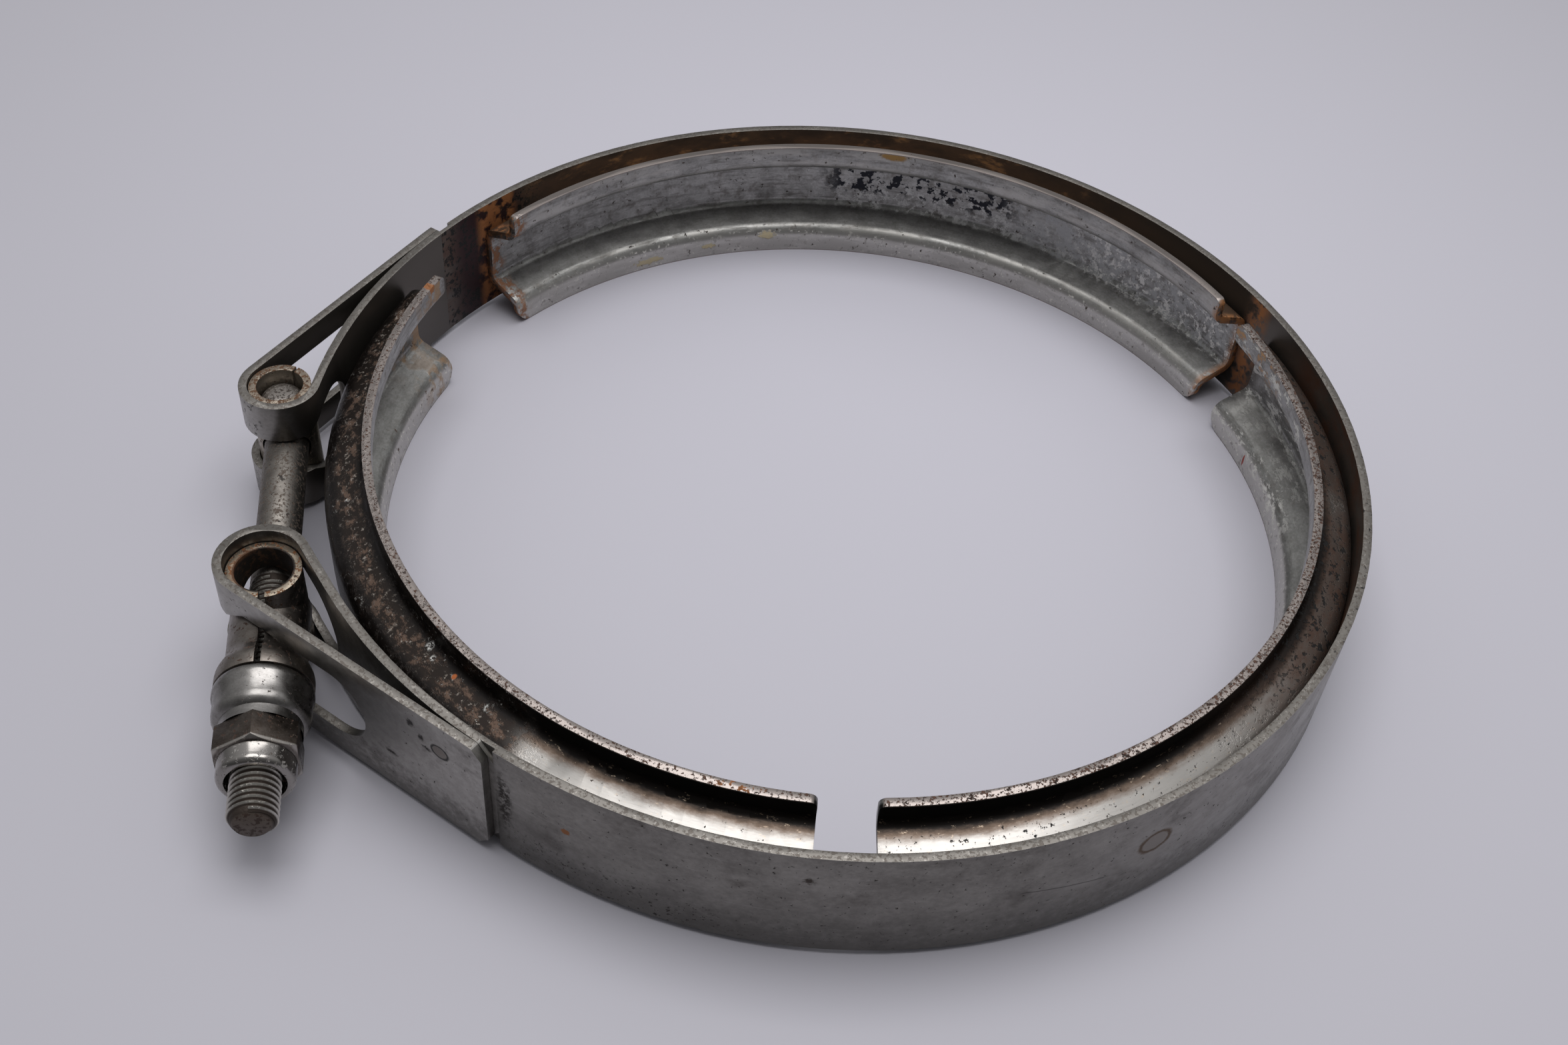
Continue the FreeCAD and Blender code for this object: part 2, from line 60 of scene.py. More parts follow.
# carries a value from one range to another
def mapRange(tree, source, fromPair, toPair=(0.0, 1.0), smooth=True):
    node = tree.nodes.new("ShaderNodeMapRange")
    if smooth:
        node.interpolation_type = "SMOOTHSTEP"
    tree.links.new(source, node.inputs["Value"])
    node.inputs["From Min"].default_value, node.inputs["From Max"].default_value = fromPair
    node.inputs["To Min"].default_value, node.inputs["To Max"].default_value = toPair
    return node.outputs[0]


def addCamera():
    tilt, roll = math.radians(view["down"]), math.radians(view["roll"])
    forward = Vector((0, math.cos(tilt), -math.sin(tilt)))
    rightFlat, upFlat = Vector((1, 0, 0)), Vector((0, math.sin(tilt), math.cos(tilt)))
    right = rightFlat * math.cos(roll) + upFlat * math.sin(roll)
    up = upFlat * math.cos(roll) - rightFlat * math.sin(roll)
    bpy.ops.object.camera_add()
    camera = bpy.context.object
    facing = Matrix((right, up, -forward)).transposed().to_4x4()
    camera.matrix_world = Matrix.Translation(Vector(view["place"]) * mm) @ facing
    camera.data.lens = view["lens"]
    camera.data.sensor_width = view["sensor"]
    camera.data.clip_start = view["near"]
    bpy.context.scene.camera = camera


def addPanel():
    bpy.ops.object.light_add(type="AREA", location=light["panelPlace"])
    lamp = bpy.context.object
    lamp.name = "overheadPanel"
    lamp.data.shape = "RECTANGLE"
    lamp.data.size, lamp.data.size_y = light["panelSize"]
    lamp.data.energy = light["panelPower"]
    lamp.data.color = light["panelTint"]


# a sky that brightens upwards and is darker on the near side
def addWorld():
    world = bpy.data.worlds.new("softSky")
    bpy.context.scene.world = world
    world.use_nodes = True
    tree = world.node_tree
    background = tree.nodes["Background"]
    coordinates = tree.nodes.new("ShaderNodeTexCoord")
    split = tree.nodes.new("ShaderNodeSeparateXYZ")
    tree.links.new(coordinates.outputs["Generated"], split.inputs[0])
    rise = mapRange(tree, split.outputs["Z"], light["skyRise"], (light["skyLow"], light["skyHigh"]))
    depth = mapRange(tree, split.outputs["Y"], light["frontRise"], (light["frontShade"], 1.0))
    strength = tree.nodes.new("ShaderNodeMath")
    strength.operation = "MULTIPLY"
    tree.links.new(rise, strength.inputs[0])
    tree.links.new(depth, strength.inputs[1])
    tree.links.new(strength.outputs[0], background.inputs["Strength"])
    background.inputs["Color"].default_value = (*light["skyTint"], 1)


def addFloor():
    bpy.ops.mesh.primitive_plane_add(size=floorLook["size"], location=(0, 0, floorLook["height"] * mm))
    floor = bpy.context.object
    floor.name = "paleFloor"
    material = bpy.data.materials.new("paleFloor")
    material.use_nodes = True
    tree = material.node_tree
    shader = tree.nodes["Principled BSDF"]
    shader.inputs["Roughness"].default_value = floorLook["rough"]
    coordinates = tree.nodes.new("ShaderNodeTexCoord")
    away = tree.nodes.new("ShaderNodeVectorMath")
    away.operation = "DISTANCE"
    away.inputs[1].default_value = (*floorLook["middle"], 0)
    tree.links.new(coordinates.outputs["Object"], away.inputs[0])
    # painted shade: the floor's colour darkens towards the far colour away from the middle, as the lamp's light
    # falls off
    paintedFalloff = mapRange(tree, away.outputs["Value"], floorLook["paintedFalloff"], smooth=False)
    mix = tree.nodes.new("ShaderNodeMix")
    mix.data_type = "RGBA"
    mix.inputs[6].default_value = (*floorLook["colour"], 1)
    mix.inputs[7].default_value = (*floorLook["far"], 1)
    tree.links.new(paintedFalloff, mix.inputs["Factor"])
    tree.links.new(mix.outputs[2], shader.inputs["Base Color"])
    floor.data.materials.append(material)


bpy.context.scene.view_settings.view_transform = "Standard"
addCamera()
addPanel()
addWorld()
addFloor()
print("camera, sky, panel and floor are set")


# a finish is built of layers of colour, gloss and grain, laid over one another by masks
ring = {"seamAngle": 152, "radius": 90}    # where the wrapped pattern starts, in the bolt's opening
grain = {"seedStep": (31.7, 17.3, 11.9), "shakeSize": 0.9, "shakeSeed": 60}
degree = math.pi / 180


# a colour as it is seen, 0 to 255, turned into the value that a shader takes
def tone(red, green, blue):
    def plain(shade):
        share = shade / 255
        return share / 12.92 if share < 0.04045 else ((share + 0.055) / 1.055) ** 2.4
    return (plain(red), plain(green), plain(blue))


def ringAngle(angle):
    return (angle - ring["seamAngle"]) % 360 - 180


class Finish:
    # x, y, z and radius are in mm; outward and up say how the surface faces
    def __init__(self, name, colour, rough, metal=1.0):
        self.material = bpy.data.materials.new(name)
        self.material.use_nodes = True
        self.tree = self.material.node_tree
        self.shader = self.tree.nodes["Principled BSDF"]
        self.colour, self.rough, self.metal, self.height = colour, rough, metal, 0.0
        self.shaken = None
        coordinates = self.tree.nodes.new("ShaderNodeTexCoord")
        facing = self.tree.nodes.new("ShaderNodeNewGeometry").outputs["Normal"]
        self.place = self.vector("MULTIPLY", coordinates.outputs["Object"], (1 / mm, 1 / mm, 1 / mm))
        self.x, self.y, self.z = self.split(self.place)
        self.radius = self.reach(self.x, self.y)
        flat = self.vector("MULTIPLY", self.place, (1, 1, 0))
        self.outward = self.dot(facing, self.vector("NORMALIZE", flat))
        self.up = self.split(facing)[2]
        turn = math.radians(ring["seamAngle"] - 180)
        across = self.number("ADD", self.number("MULTIPLY", self.x, math.cos(turn)),
                             self.number("MULTIPLY", self.y, math.sin(turn)))
        along = self.number("ADD", self.number("MULTIPLY", self.x, -math.sin(turn)),
                            self.number("MULTIPLY", self.y, math.cos(turn)))
        self.angle = self.number("MULTIPLY", self.number("ARCTAN2", along, across), 1 / degree)
        run = self.number("MULTIPLY", self.angle, ring["radius"] * degree)
        self.wrapped = self.join(run, self.radius, self.z)

    def feed(self, socket, value):
        if isinstance(value, bpy.types.NodeSocket):
            self.tree.links.new(value, socket)
        elif isinstance(value, tuple) and socket.type == "RGBA":
            socket.default_value = (*value, 1)
        else:
            socket.default_value = value

    def calculate(self, kind, operation, values):
        node = self.tree.nodes.new(kind)
        node.operation = operation
        for socket, value in zip(node.inputs, values):
            self.feed(socket, value)
        return node

    def number(self, operation, *values):
        return self.calculate("ShaderNodeMath", operation, values).outputs[0]

    def vector(self, operation, *values):
        return self.calculate("ShaderNodeVectorMath", operation, values).outputs["Vector"]

    def dot(self, *values):
        return self.calculate("ShaderNodeVectorMath", "DOT_PRODUCT", values).outputs["Value"]

    def split(self, vector):
        node = self.tree.nodes.new("ShaderNodeSeparateXYZ")
        self.feed(node.inputs[0], vector)
        return node.outputs[0], node.outputs[1], node.outputs[2]

    def join(self, *parts):
        node = self.tree.nodes.new("ShaderNodeCombineXYZ")
        for socket, value in zip(node.inputs, parts):
            self.feed(socket, value)
        return node.outputs[0]

    # how far two offsets lead away
    def reach(self, first, second):
        return self.number("SQRT", self.number("ADD", self.number("MULTIPLY", first, first),
                                               self.number("MULTIPLY", second, second)))

    # 0 below low, 1 above high; low may be the larger, and then it falls
    def rise(self, value, low, high):
        falling = low > high
        return mapRange(self.tree, value, (min(low, high), max(low, high)), (1.0, 0.0) if falling else (0.0, 1.0))

    def band(self, value, start, end, soft):
        return self.both(self.rise(value, start - soft, start + soft), self.rise(value, end + soft, end - soft))

    # stretch of the ring between two angles, soft in degrees
    def arc(self, start, end, soft=2.0):
        first, last = ringAngle(start), ringAngle(end)
        if first < last:
            return self.band(self.angle, first, last, soft)
        return self.rise(self.angle, first - soft, first + soft)

    def arcs(self, rows):
        return self.either(*[self.arc(*row) for row in rows])

    def both(self, *masks):
        result = masks[0]
        for mask in masks[1:]:
            result = self.number("MULTIPLY", result, mask)
        return result

    # one mask, or several that all have to hold
    def joined(self, mask):
        return self.both(*mask) if isinstance(mask, tuple) else mask

    def either(self, *masks):
        result = masks[0]
        for mask in masks[1:]:
            result = self.number("MAXIMUM", result, mask)
        return result

    def notThis(self, mask):
        return self.number("SUBTRACT", 1.0, mask)

    # a mask that keeps a base value where it was 0
    def lift(self, mask, share, base):
        return self.number("ADD", self.number("MULTIPLY", mask, share), base)

    # a value with a pattern's waves on it
    def wavy(self, value, pattern, depth):
        return self.number("ADD", value, self.number("MULTIPLY", pattern, depth))

    # wrapped round the ring, or solid through the piece; size in mm
    def noise(self, size, detail=4.0, rough=0.55, seed=0.0, stretch=(1, 1, 1), solid=False):
        shift = tuple(seed * step for step in grain["seedStep"])
        shifted = self.vector("ADD", self.place if solid else self.wrapped, shift)
        scaled = self.vector("MULTIPLY", shifted, tuple(1 / (size * share) for share in stretch))
        node = self.tree.nodes.new("ShaderNodeTexNoise")
        node.inputs["Scale"].default_value = 1.0
        node.inputs["Detail"].default_value = detail
        node.inputs["Roughness"].default_value = rough
        self.tree.links.new(scaled, node.inputs["Vector"])
        return node.outputs["Fac"]

    # noise with its greys pushed apart
    def clouds(self, low, high, *settings, **more):
        return self.rise(self.noise(*settings, **more), low, high)

    # one noise, shared by every spot's ragged border
    def shake(self):
        if self.shaken is None:
            fine = self.noise(grain["shakeSize"], detail=4, rough=0.65, seed=grain["shakeSeed"])
            self.shaken = self.number("SUBTRACT", fine, 0.5)
        return self.shaken

    def blot(self, angle, level, middle, size, stretch=1.0, soft=0.4, ragged=0.5):
        away = self.number("MULTIPLY", self.number("SUBTRACT", self.angle, ringAngle(angle)),
                           ring["radius"] * degree / stretch)
        far = self.reach(away, self.number("SUBTRACT", level, middle))
        return self.rise(self.wavy(far, self.shake(), size * 2 * ragged), size, size * (1 - soft))

    def spot(self, angle, height, size, stretch=1.0, soft=0.4, ragged=0.5):
        return self.blot(angle, self.z, height, size, stretch, soft, ragged)

    # a spot on a leg of a retainer, where the height hardly changes
    def legSpot(self, angle, reach, size, ragged=0.8):
        return self.blot(angle, self.radius, reach, size, ragged=ragged)

    # height is in mm
    def layer(self, mask, colour=None, rough=None, metal=None, height=None):
        mask = self.joined(mask)
        for name, value in (("colour", colour), ("rough", rough), ("metal", metal)):
            if value is not None:
                mix = self.tree.nodes.new("ShaderNodeMix")
                mix.data_type = "RGBA" if name == "colour" else "FLOAT"
                before, after, result = (6, 7, 2) if name == "colour" else (2, 3, 0)    # the node's sockets
                self.feed(mix.inputs["Factor"], mask)
                self.feed(mix.inputs[before], getattr(self, name))
                self.feed(mix.inputs[after], value)
                setattr(self, name, mix.outputs[result])
        if height is not None:
            self.height = self.wavy(self.height, mask, height)

    def close(self):
        self.feed(self.shader.inputs["Base Color"], self.colour)
        self.feed(self.shader.inputs["Roughness"], self.rough)
        self.feed(self.shader.inputs["Metallic"], self.metal)
        if isinstance(self.height, bpy.types.NodeSocket):
            node = self.tree.nodes.new("ShaderNodeBump")
            node.inputs["Strength"].default_value = 1.0
            node.inputs["Distance"].default_value = mm
            self.tree.links.new(self.height, node.inputs["Height"])
            self.tree.links.new(node.outputs[0], self.shader.inputs["Normal"])
        return self.material


black = tone(12, 10, 9)
soot = tone(48, 41, 37)
rustBrown = tone(118, 82, 56)
rustOrange = tone(146, 94, 54)
crustWhite = tone(205, 203, 198)
cream = tone(196, 182, 150)
blueBlack = tone(20, 22, 32)


# plain steel under everything: pale clouds, uneven gloss, fine grain and slight waves
def mottledSteel(finish, pale, size=6.0, roughHigh=0.46, solid=False):
    clouds = finish.noise(size, detail=6, rough=0.68, seed=1.0, stretch=(1.3, 1, 1), solid=solid)
    fine = finish.noise(size / 9, detail=4, rough=0.7, seed=2.0, stretch=(1.3, 1, 1), solid=solid)
    blend = finish.number("ADD", finish.number("MULTIPLY", clouds, 0.6), finish.number("MULTIPLY", fine, 0.4))
    finish.layer(finish.rise(blend, 0.3, 0.7), pale)
    dull = finish.clouds(0.3, 0.7, size / 2, detail=4, rough=0.6, seed=3.0, stretch=(2, 1, 1), solid=solid)
    finish.layer(dull, rough=roughHigh)
    hairlines = finish.noise(0.35, detail=2, rough=0.5, seed=4.0, stretch=(6, 1, 1), solid=solid)
    finish.layer(hairlines, height=0.006)
    finish.layer(finish.noise(9, detail=2, rough=0.4, seed=5.0, solid=solid), height=0.12)


# grains of a size in mm over a share of the masked face
def speckle(finish, mask, colour, size, share, rough=0.7, metal=0.2, seed=0.0, height=-0.03, solid=False):
    spread = finish.clouds(1 - share, 1 - share - 0.06, size, detail=4, rough=0.65, seed=10 + seed, solid=solid)
    finish.layer((finish.notThis(spread), finish.joined(mask)), colour, rough, metal, height)


def pickNone():
    bpy.ops.object.select_all(action="DESELECT")


# a carried shape again with its edges broken, so that they catch the light; sizes in mm and degrees
edgeRules = {"merge": 0.002, "flatten": 0.4, "segments": 2, "sharp": 35, "smooth": 32}


def brokenEdges(name, body, slot, width, paint):
    pickNone()
    piece = bpy.data.objects.new(name + "Worn", nodes[name].data.copy())
    bpy.context.collection.objects.link(piece)
    bpy.context.view_layer.objects.active = piece
    piece.select_set(True)
    bpy.ops.object.mode_set(mode="EDIT")
    bpy.ops.mesh.select_all(action="SELECT")
    bpy.ops.mesh.remove_doubles(threshold=edgeRules["merge"] * mm)
    bpy.ops.mesh.dissolve_limited(angle_limit=math.radians(edgeRules["flatten"]))
    bpy.ops.object.mode_set(mode="OBJECT")
    if piece.data.has_custom_normals:
        bpy.ops.mesh.customdata_custom_splitnormals_clear()
    bpy.ops.object.modifier_add(type="BEVEL")
    bevel = piece.modifiers[-1]
    bevel.width, bevel.segments = width * mm, edgeRules["segments"]
    bevel.limit_method, bevel.angle_limit = "ANGLE", math.radians(edgeRules["sharp"])
    bpy.ops.object.modifier_apply(modifier=bevel.name)
    bpy.ops.object.shade_smooth_by_angle(angle=math.radians(edgeRules["smooth"]))
    handOver(piece, paint(), body, name)
    print(name, "with broken edges:", len(piece.data.polygons), "faces")


def handOver(piece, material, body, node):
    piece.data.materials.clear()
    piece.data.materials.append(material)
    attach(piece, body)
    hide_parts(node)


# a line of points in the XZ plane, drawn by extruding a single vertex
def drawLine(name, points):
    pickNone()
    bpy.ops.mesh.primitive_plane_add(size=mm)
    piece = bpy.context.object
    piece.name = name
    bpy.ops.object.mode_set(mode="EDIT")
    bpy.ops.mesh.merge(type="CENTER")
    bpy.ops.transform.translate(value=Vector(points[0]) * mm)
    for first, second in zip(points, points[1:]):
        step = (Vector(second) - Vector(first)) * mm
        bpy.ops.mesh.extrude_region_move(TRANSFORM_OT_translate={"value": step})
    bpy.ops.object.mode_set(mode="OBJECT")
    return piece


# the drawn line turned about an axis; a pitch makes it a helix
def turned(piece, axis, steps, pitch=0.0, turns=1):
    bpy.ops.object.modifier_add(type="SCREW")
    screw = piece.modifiers[-1]
    screw.axis = axis
    screw.steps = screw.render_steps = steps
    screw.screw_offset, screw.iterations = pitch * mm, turns
    screw.use_merge_vertices = True
    screw.merge_threshold = edgeRules["merge"] / 2 * mm
    bpy.ops.object.modifier_apply(modifier=screw.name)
    bpy.ops.object.mode_set(mode="EDIT")
    bpy.ops.mesh.select_all(action="SELECT")
    bpy.ops.mesh.remove_doubles(threshold=edgeRules["merge"] * mm)
    bpy.ops.mesh.normals_make_consistent(inside=False)
    bpy.ops.object.mode_set(mode="OBJECT")


# stands the piece drawn along X on the bolt's line
def setOnBolt(name, smooth, material, body, node):
    piece = bpy.context.object
    piece.name = name
    direction = Vector(joints["nut_travel"]["axis"])
    pivot = Vector(joints["bolt_swing"]["pos_m"])
    piece.matrix_world = Matrix.Translation(pivot) @ Matrix.Rotation(math.atan2(direction.y, direction.x), 4, "Z")
    bpy.ops.object.transform_apply(location=True, rotation=True, scale=True)
    bpy.ops.object.shade_smooth_by_angle(angle=math.radians(smooth))
    handOver(piece, material, body, node)
    print(name, "has", len(piece.data.polygons), "faces")


# arcs are from, to and softness in degrees round the ring; marks are angle, height, size and stretch
strapLook = {"dark": tone(112, 109, 105), "pale": tone(142, 139, 134), "sideReflection": tone(146, 143, 140),
             "legPale": tone(168, 165, 161), "cloud": tone(96, 92, 88), "lowEdge": tone(98, 95, 91),
             "scratch": tone(170, 168, 166), "speck": tone(52, 46, 41), "inside": tone(92, 87, 82),
             "backFilm": tone(128, 104, 84), "loopFilm": tone(82, 58, 48), "sideFilm": tone(84, 58, 44),
             "orangeFilm": tone(164, 124, 84), "scorch": tone(52, 34, 36), "sheared": tone(122, 118, 113),
             "shearedDark": tone(84, 75, 68), "shearedBright": tone(176, 171, 165), "burrAndHighlight": tone(206, 202, 196),
             "loopDark": tone(42, 38, 36), "loopCrust": tone(205, 203, 200), "smudge": tone(58, 54, 53),
             "weldCore": tone(124, 118, 112), "darkSpot": tone(64, 56, 50), "caught": tone(44, 38, 33),
             "splash": tone(50, 44, 39), "scoreLine": tone(60, 56, 54),
             "reflectingSide": ((300, 359, 14), (356, 60, 10)), "brownBack": (62, 140, 24),
             "brownLoop": (134, 176, 8), "brownSide": ((320, 359, 8), (355, 20, 4)), "orangeBack": (58, 134, 12),
             "scorchedBack": (139, 150, 2), "blackBack": (136, 156, 3), "rustRight": (27.5, 30.5, 1.2),
             "rustLeft": (139.5, 145.5, 0.8), "loopSide": (155, 205, 5), "dirtyEdge": (330, 20, 6),
             "splashed": (239, 262, 3), "scored": (289.5, 298.5, 0.6)}
strapMarks = {"smudges": ((229.2, 8.4, 1.1, 0.8), (230.4, 6.2, 0.9, 0.9), (231.0, 4.4, 0.7, 1.6),
                          (226.2, -3.2, 0.6, 2.6), (233.0, 5.0, 0.6, 1.8)),
              "welds": ((303.4, 1.9, 3.0, tone(96, 80, 66)), (232.6, 5.6, 1.7, tone(70, 68, 67)),
                        (57, 2.5, 3.0, tone(96, 80, 66)), (180.5, 2.0, 2.6, tone(96, 80, 66))),
              "weldStretch": 1.15, "weldCore": 0.74, "darkSpot": (269.4, 6.0, 1.0, 1.1),
              "rustSpot": (246.2, 1.4, 0.8, 1.2), "caught": (239.3, 0.5, 9.0, 0.2),
              "scoreSlope": 0.27, "scoreAt": 290, "scoreBand": (-0.4, -0.25)}


# a painted reflection lightening the right side, soft darker clouds, a darker lower edge and a few fine scratches
def paintOuterFace(finish, outside):
    look = strapLook
    fine = finish.clouds(0.3, 0.7, size=1.4, detail=5, rough=0.7, seed=5.5)
    # painted reflection: round the right side the outer face is made paler
    side = finish.arcs(look["reflectingSide"])
    finish.layer((outside, side, finish.lift(fine, 0.6, 0.4)), look["sideReflection"])
    legs = finish.rise(finish.radius, 94.2, 95.4)
    finish.layer((outside, legs, finish.lift(fine, 0.5, 0.5)), look["legPale"], rough=0.4)
    clouds = finish.clouds(0.5, 0.75, size=9, detail=6, rough=0.7, seed=6.0, stretch=(1.3, 1, 1))
    finish.layer((outside, clouds), look["cloud"], rough=0.42)
    lower = finish.rise(finish.wavy(finish.z, fine, 5), -1.0, -9.0)
    finish.layer((outside, lower, 0.6), look["lowEdge"], rough=0.45)
    scratches = finish.clouds(0.69, 0.74, size=0.5, detail=2, rough=0.5, seed=7.0, stretch=(40, 1, 0.5))
    finish.layer((scratches, outside, 0.35), look["scratch"], rough=0.4)
    speckle(finish, outside, look["speck"], size=0.7, share=0.3, seed=1)


# a brown film, heavier at the back, with orange rust by the welds of the back retainer
def paintInnerFace(finish, inside):
    look = strapLook
    film = finish.clouds(0.35, 0.62, size=5, detail=5, rough=0.65, seed=8.0, stretch=(2, 1, 1))
    finish.layer(inside, look["inside"], rough=0.42, metal=0.9)
    backFilm = finish.both(inside, finish.lift(film, 0.6, 0.25), finish.arc(*look["brownBack"]))
    finish.layer(backFilm, look["backFilm"], rough=0.5, metal=0.75)
    finish.layer((inside, film, finish.arc(*look["brownLoop"]), 0.85), look["loopFilm"], rough=0.6, metal=0.4)
    finish.layer((inside, film, finish.arcs(look["brownSide"])), look["sideFilm"], rough=0.5, metal=0.6)
    orange = finish.clouds(0.52, 0.68, size=3.5, detail=5, rough=0.7, seed=9.0, stretch=(2.5, 1, 1))
    finish.layer((inside, orange, finish.arc(*look["orangeBack"])), look["orangeFilm"], rough=0.6, metal=0.45)
    finish.layer((inside, finish.arc(*look["scorchedBack"])), look["scorch"], rough=0.6, metal=0.6)
    speckle(finish, (inside, finish.arc(*look["blackBack"])), black, size=1.1, share=0.42, seed=2)
    rusty = finish.clouds(0.4, 0.56, size=2.6, detail=5, rough=0.65, seed=11.0)
    finish.layer((inside, finish.arc(*look["rustRight"]), rusty), rustOrange, rough=0.75, metal=0.2)
    rusty = finish.clouds(0.42, 0.55, size=3, detail=4, rough=0.6, seed=12.0)
    finish.layer((inside, finish.arc(*look["rustLeft"]), rusty), rustOrange, rough=0.75, metal=0.2)


# the strip's cut edges: bright burrs, partly a painted highlight on the rounded edge, with a speckled middle
def paintCutEdges(finish, outside):
    look = strapLook
    cut = finish.rise(finish.number("ABSOLUTE", finish.up), 0.8, 0.95)
    finish.layer(cut, look["sheared"], rough=0.5, metal=1.0)
    speckle(finish, (cut, 0.55), look["shearedDark"], size=0.7, share=0.42, rough=0.6, metal=0.8, seed=3,
            height=-0.02)
    speckle(finish, (cut, 0.4), look["shearedBright"], size=0.6, share=0.36, rough=0.4, metal=1.0, seed=5,
            height=0.0)
    # the sloped faces of the rounded edge are made bright: bare metal of the burr together with a painted
    # highlight
    slope = finish.number("ABSOLUTE", finish.up)
    nearEdge = finish.rise(finish.number("ABSOLUTE", finish.z), 11.7, 11.8)
    finish.layer((finish.band(slope, 0.3, 0.9, 0.08), nearEdge), look["burrAndHighlight"], rough=0.34, metal=1.0)
    loops = finish.both(finish.rise(finish.radius, 94.6, 96.0), finish.arc(*look["loopSide"]), outside)
    speckle(finish, (loops, 0.85), look["loopDark"], size=1.0, share=0.36, seed=6)
    speckle(finish, loops, look["loopCrust"], size=0.8, share=0.24, rough=0.5, metal=0.4, seed=7)
    speckle(finish, (cut, finish.arc(*look["dirtyEdge"])), black, size=1.2, share=0.34, seed=4)


# smudges on the near leg, spot-weld rings, single spots, caught dirt at the strip's end and a scored line
def paintStrapMarks(finish, outside):
    look, marks = strapLook, strapMarks
    for mark in marks["smudges"]:
        finish.layer((finish.spot(*mark, soft=0.7, ragged=1.0), outside), look["smudge"], rough=0.55, metal=0.7)
    for angle, height, size, shade in marks["welds"]:
        disc = finish.spot(angle, height, size, marks["weldStretch"], soft=0.22, ragged=0.12)
        core = finish.spot(angle, height, size * marks["weldCore"], marks["weldStretch"], soft=0.25, ragged=0.12)
        rim = finish.both(disc, finish.notThis(core))
        finish.layer((rim, outside), shade, rough=0.6, metal=0.7, height=-0.05)
        finish.layer((core, outside), look["weldCore"], rough=0.36, metal=None, height=-0.03)
    darkSpot = finish.spot(*marks["darkSpot"], soft=0.8, ragged=1.2)
    finish.layer((darkSpot, outside), look["darkSpot"], rough=0.55, metal=0.6)
    finish.layer((finish.spot(*marks["rustSpot"]), outside), rustOrange, rough=0.7, metal=0.2)
    patchy = finish.clouds(0.4, 0.54, size=0.9, detail=4, rough=0.7, seed=13.0)
    caught = finish.both(finish.spot(*marks["caught"], soft=0.7, ragged=0.5), outside, patchy)
    finish.layer(caught, look["caught"], rough=0.7, metal=0.3)
    splashed = finish.both(outside, finish.arc(*look["splashed"]), finish.rise(finish.z, -3, -7))
    speckle(finish, splashed, look["splash"], size=0.9, share=0.35, seed=8)
    tilted = finish.wavy(finish.z, finish.angle, marks["scoreSlope"])
    start, end = [edge + marks["scoreSlope"] * ringAngle(marks["scoreAt"]) for edge in marks["scoreBand"]]
    scored = finish.both(finish.band(tilted, start, end, 0.12), finish.arc(*look["scored"]), outside)
    finish.layer(scored, look["scoreLine"], rough=0.5)


def paintStrap():
    finish = Finish("strapSteel", strapLook["dark"], 0.3)
    mottledSteel(finish, strapLook["pale"], size=7.0)
    outside = finish.rise(finish.outward, 0.2, 0.6)
    inside = finish.rise(finish.outward, -0.2, -0.6)
    paintOuterFace(finish, outside)
    paintInnerFace(finish, inside)
    paintCutEdges(finish, outside)
    paintStrapMarks(finish, outside)
    return finish.close()


retainerLook = {"dark": tone(122, 121, 118), "pale": tone(164, 163, 160), "streak": tone(100, 97, 93),
                "grime": tone(98, 92, 86), "bend": tone(200, 197, 192), "bendBright": tone(222, 219, 212),
                "bendDull": tone(120, 114, 107), "lipTop": tone(152, 143, 138), "lipPit": tone(92, 66, 54),
                "lipHole": tone(58, 40, 32)}
legLook = {"shadeUnderLip": tone(30, 26, 24), "brown": tone(112, 96, 84), "reflection": tone(178, 174, 169),
           "speck": tone(64, 52, 44), "glint": tone(196, 176, 154)}


# parts of a pressed retainer, told apart by where they are and how they face
def retainerZones(finish):
    back = finish.rise(finish.outward, -0.12, 0.1)
    return {"back": back,
            "lipTop": finish.rise(finish.number("ABSOLUTE", finish.z), 12.95, 13.15),
            "lipBack": finish.both(back, finish.rise(finish.radius, 86.6, 85.6)),
            "front": finish.rise(finish.outward, -0.25, -0.55)}


# what the three retainers share: long streaks and grime inside, and a painted highlight on the lower bend, with
# pale and dull flecks on it
def paintRetainer(name):
    look = retainerLook
    finish = Finish(name + "Steel", look["dark"], 0.3)
    mottledSteel(finish, look["pale"], size=4.0, roughHigh=0.44)
    zone = retainerZones(finish)
    streaks = finish.clouds(0.48, 0.68, size=0.9, detail=5, rough=0.65, seed=20.0, stretch=(8, 1, 1))
    finish.layer((streaks, zone["front"], 0.6), look["streak"], rough=0.5)
    grime = finish.clouds(0.5, 0.66, size=2.2, detail=6, rough=0.72, seed=19.0)
    finish.layer((grime, zone["front"], 0.5), look["grime"], rough=0.55, metal=0.8)
    # painted highlight: the lower bend, facing inwards, is made pale and glossy
    bend = finish.both(finish.rise(finish.outward, 0.05, -0.15), finish.rise(finish.z, -7.8, -8.8))
    finish.layer((bend, 0.85), look["bend"], rough=0.34)
    speckle(finish, bend, look["bendBright"], size=0.8, share=0.36, rough=0.5, metal=0.6, seed=16, height=0.02)
    speckle(finish, (bend, 0.5), look["bendDull"], size=1.3, share=0.36, rough=0.5, metal=0.9, seed=9,
            height=-0.02)
    return finish, zone


def edgeWear(finish, zone, pits):
    finish.layer(zone["lipTop"], retainerLook["lipTop"], rough=0.38, metal=1.0)
    speckle(finish, zone["lipTop"], retainerLook["lipPit"], size=0.5, share=pits, rough=0.65, metal=0.5,
            seed=21, height=-0.08)
    speckle(finish, zone["lipTop"], retainerLook["lipHole"], size=1.0, share=pits - 0.06, rough=0.7,
            metal=0.4, seed=18, height=-0.12)
